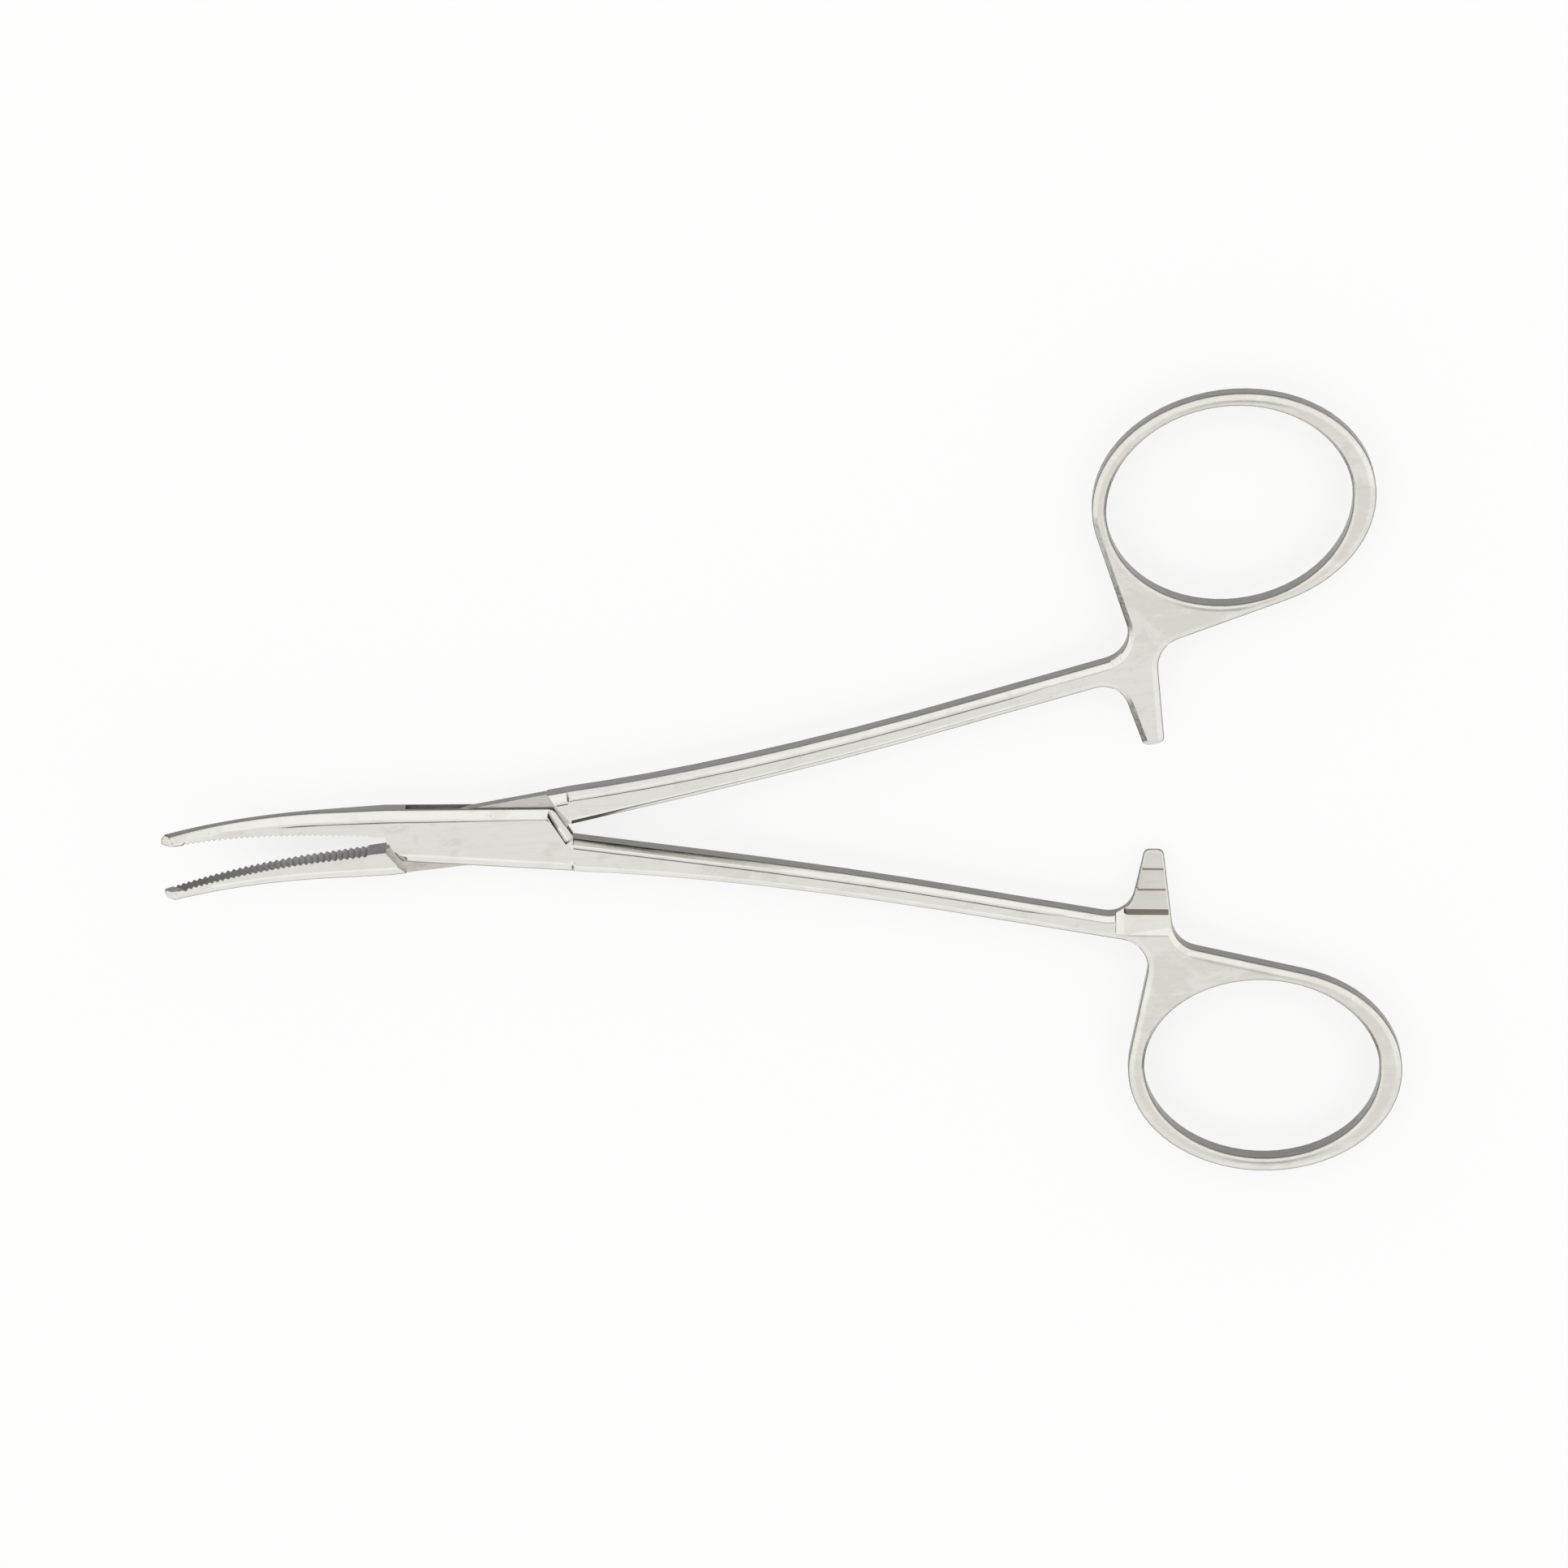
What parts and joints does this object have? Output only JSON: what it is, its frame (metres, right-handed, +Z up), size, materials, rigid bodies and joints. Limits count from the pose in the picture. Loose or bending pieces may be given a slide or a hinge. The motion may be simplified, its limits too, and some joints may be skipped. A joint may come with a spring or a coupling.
{
  "type": "hemostat forceps",
  "caption": "Curved hemostat forceps with a box-lock hinge, serrated jaws, finger rings and a ratchet that holds it closed.",
  "frame": {"origin": "joint axis at the flat underside of the box", "axes": "+X from the joint towards the finger rings, half way between the two shanks, +Z up along the joint axis, and the jaws curve up towards +Z"},
  "size_m": [0.1217, 0.0797, 0.0078],
  "materials": {
    "polished_steel": "polished stainless steel with satin strips on the flats",
    "pin_steel": "satin stainless steel, ground flush"
  },
  "bodies": {
    "female": {"female_half": "polished_steel", "joint_pin": "pin_steel"},
    "male": {"male_half": "polished_steel"}
  },
  "joints": [
    {"name": "box_joint", "type": "hinge", "parent": "female", "child": "male", "pos_m": [0, 0, 0.00195], "axis": [0, 0, 1], "range_deg": [-8.6, 42]}
  ]
}
